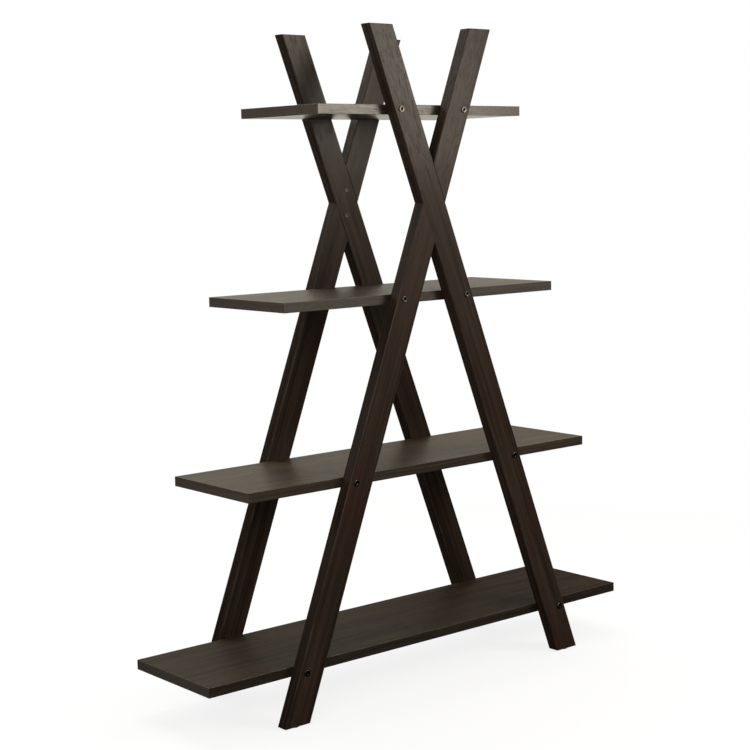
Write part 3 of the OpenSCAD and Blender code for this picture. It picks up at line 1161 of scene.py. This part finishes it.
def make_metal_group():
    """The radius is a point's distance from the axis, and the rim that of its outer edge."""
    group, given, result = start_group(
        "turned_metal",
        [("Vector", "Vector", None), ("Radius", "Float", 0.0), ("Rim", "Float", 0.007)],
        ["Patches", "Marks", "Rub"],
    )
    patches = noise(group, enlarge(group, given["Vector"], PATCHES_PER_METRE), 3.0, 0.6)
    turn = times(group, given["Radius"], 2 * pi / MARK_SPACING)
    uneven = noise(group, enlarge(group, given["Vector"], RUBS_PER_METRE), 2.0)
    inner = reckon(group, "SUBTRACT", given["Rim"], RUB_WIDTH)
    rub = spread(group, given["Radius"], inner, given["Rim"])
    rub = times(group, rub, spread(group, uneven, 0.35, 0.6))
    patches = spread(group, patches, 0.35, 0.65)
    return finish_group(group, result, Patches=patches, Marks=reckon(group, "SINE", turn), Rub=rub)


metal_group = make_metal_group()

# %% Build the metals
MARK_STRENGTH = 0.12
MARK_DEPTH = 0.00002


def turned_metal(name, dark, pale, rubbed, rim, rough):
    """A turned metal between two colours, with its rim in a third."""
    material, tree = start_material(name)
    place = object_place(tree)
    on_model = add_node(tree, "Attribute", attribute_name="on_model").outputs["Vector"]
    radius = length_of(tree, reckon_vector(tree, "MULTIPLY", on_model, (1, 1, 0)))
    metal = use_group(tree, metal_group, {"Vector": place, "Radius": radius, "Rim": rim})
    colour = mix_colours(tree, metal["Patches"], (*dark, 1), (*pale, 1))
    colour = mix_colours(tree, metal["Rub"], colour, (*rubbed, 1))
    roughness = spread(tree, metal["Patches"], 0.0, 1.0, rough + 0.07, rough - 0.05)
    surface = {"Base Color": colour, "Roughness": roughness, "Metallic": 1.0}
    shader = solid_shader(tree, surface, metal["Marks"], MARK_STRENGTH, MARK_DEPTH)
    return finish_material(material, shader)


shades = {"dark": (0.031, 0.028, 0.025), "pale": (0.066, 0.060, 0.054), "rubbed": (0.20, 0.185, 0.165)}
black_steel = turned_metal("black_steel", rim=HEAD_RADIUS, rough=0.20, **shades)
shades = {"dark": (0.026, 0.022, 0.018), "pale": (0.055, 0.048, 0.041), "rubbed": (0.18, 0.15, 0.12)}
black_screw = turned_metal("black_screw", rim=SCREW_HEAD_RADIUS, rough=0.38, **shades)
shades = {"dark": (0.42, 0.43, 0.46), "pale": (0.62, 0.61, 0.57), "rubbed": (0.78, 0.77, 0.74)}
zinc = turned_metal("zinc_plate", rim=NUT_RADIUS, rough=0.34, **shades)
shades = {"dark": (0.36, 0.36, 0.36), "pale": (0.55, 0.54, 0.52), "rubbed": (0.70, 0.69, 0.67)}
nail_steel = turned_metal("nail_steel", rim=NAIL_HEAD_RADIUS, rough=0.38, **shades)

# %% [markdown]
# ## Bare beech and black plastic
# The dowels are unstained beech: the same grain group in pale colours, with its X turned
# along the dowel. The glides are moulded plastic, which is never quite even: the mould
# leaves a fine grain, and the floor scuffs the lower face.

# %% Build the beech
DOWEL_LOOK = dict(
    LEG_LOOK,
    streak=0.0022,
    ring=0.0016,
    dark=(0.36, 0.22, 0.12),
    pale=(0.58, 0.41, 0.26),
    red=(0.50, 0.30, 0.18),
    pore=(0.24, 0.14, 0.08),
    worn_and_highlit=(0.62, 0.46, 0.30),
    rough=0.62,
    gloss=0.4,
)
# Bare wood has no worn edges, so the edges are given as far off
NO_EDGE = (1.0, 1.0, 1.0)

beech, tree = start_material("bare_beech")
turned = {"Vector": object_place(tree), "Rotation": (0, 0, pi / 2)}
stained_wood(beech, add_node(tree, "Mapping", turned).outputs[0], NO_EDGE, DOWEL_LOOK)

# %% Build the plastic
PLASTIC_DARK = (0.011, 0.011, 0.012, 1)
PLASTIC_PALE = (0.019, 0.018, 0.018, 1)
SCUFFED = (0.085, 0.080, 0.074, 1)
SCUFF_SHARE = 0.7
SCUFF_HEIGHT = 0.0008
PLASTIC_GLOSS = 0.45
CLOUDS_PER_METRE = 260
GRAINS_PER_METRE = 2600
GRAIN_STRENGTH = 0.35
GRAIN_DEPTH = 0.00004

plastic, tree = start_material("black_plastic")
place = object_place(tree)
grain = noise(tree, enlarge(tree, place, GRAINS_PER_METRE), 2.0)
cloud = noise(tree, enlarge(tree, place, CLOUDS_PER_METRE), 3.0, 0.6)
low = spread(tree, split(tree, place)[2], SCUFF_HEIGHT, 0.0)
scuffs = times(tree, low, spread(tree, cloud, 0.45, 0.62))
colour = mix_colours(tree, spread(tree, cloud, 0.3, 0.7), PLASTIC_DARK, PLASTIC_PALE)
colour = mix_colours(tree, times(tree, scuffs, SCUFF_SHARE), colour, SCUFFED)
roughness = spread(tree, scuffs, 0.0, 1.0, 0.42, 0.68)
surface = {"Base Color": colour, "Roughness": roughness, "Specular IOR Level": PLASTIC_GLOSS}
finish_material(plastic, solid_shader(tree, surface, grain, GRAIN_STRENGTH, GRAIN_DEPTH))

# %% [markdown]
# ## Put the fasteners in place
# The CAD parts say where each fastener belongs. The same four corners come up for bolts,
# nuts, dowels and glides, so one helper gives all four places. Bolts and dowels are
# tilted to point into the bookcase, and all but the nuts are spun a little differently,
# as hands do. The copies for one CAD part are joined and take that part's place.


# %% Copy and place
def set_out(model, name, node, places, material):
    """Joins copies of a model at (x, y, z, tilt, spin) places into one piece."""
    copies = []
    for x, y, z, tilt, spin in places:
        copy = model.copy()
        copy.data = model.data.copy()
        scene.collection.objects.link(copy)
        turned = Matrix.Rotation(tilt, 4, "X") @ Matrix.Rotation(spin, 4, "Z")
        copy.matrix_world = Matrix.Translation((x, y, z)) @ turned
        copies.append(copy)
    piece = join(*copies)
    bpy.ops.object.transform_apply(location=True, rotation=True, scale=True)
    piece.name = name
    piece.data.name = name
    piece.data.materials.append(material)
    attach(piece, "root")
    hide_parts(node)
    print(name, "with", len(places), "copies")


def corners(x, y, z, tilt=pi / 2, spin=0.0):
    """The four places at plus and minus x and y, each with a tilt and a spin."""
    signs = ((-1, -1), (1, -1), (-1, 1), (1, 1))
    return [
        (sign_x * x, sign_y * y, z, sign_y * tilt, spin * (1 + 2 * number))
        for number, (sign_x, sign_y) in enumerate(signs)
    ]


for shelf_name in SHELF_NAMES:
    low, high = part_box(shelf_name + "_bolts")
    spots = corners(high.x - HEAD_RADIUS, high.y - HEAD_HEIGHT, (low.z + high.z) / 2, spin=0.31)
    set_out(bolt, "bolts_at_" + shelf_name, shelf_name + "_bolts", spots, black_steel)
    low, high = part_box(shelf_name + "_barrel_nuts")
    spots = corners(high.x - NUT_RADIUS, high.y - NUT_RADIUS, (low.z + high.z) / 2, 0.0)
    set_out(nut, "nuts_in_" + shelf_name, shelf_name + "_barrel_nuts", spots, zinc)
    low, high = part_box(shelf_name + "_dowels")
    spots = corners(high.x - DOWEL_RADIUS, high.y, (low.z + high.z) / 2, spin=0.7)
    set_out(dowel, "dowels_at_" + shelf_name, shelf_name + "_dowels", spots, beech)

# %% Place the crossing screws and the glides
for side_name, outward in (("front", -1), ("rear", 1)):
    low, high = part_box(side_name + "_crossing_screws")
    inner_face = high.y if outward < 0 else low.y
    spots = [
        (0.0, inner_face, z, -outward * pi / 2, 0.5 + z)
        for z in (low.z + SCREW_HEAD_RADIUS, high.z - SCREW_HEAD_RADIUS)
    ]
    name, node = "screws_in_" + side_name + "_crossing", side_name + "_crossing_screws"
    set_out(screw, name, node, spots, black_screw)
low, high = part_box("foot_glides")
spots = corners(high.x - GLIDE_RADIUS, high.y - GLIDE_RADIUS, 0.0, 0.0, 0.4)
set_out(pad, "glide_pads", "foot_glides", spots, plastic)
set_out(nail, "glide_nails", "foot_glides", spots, nail_steel)
for model in models:
    bpy.data.objects.remove(model)
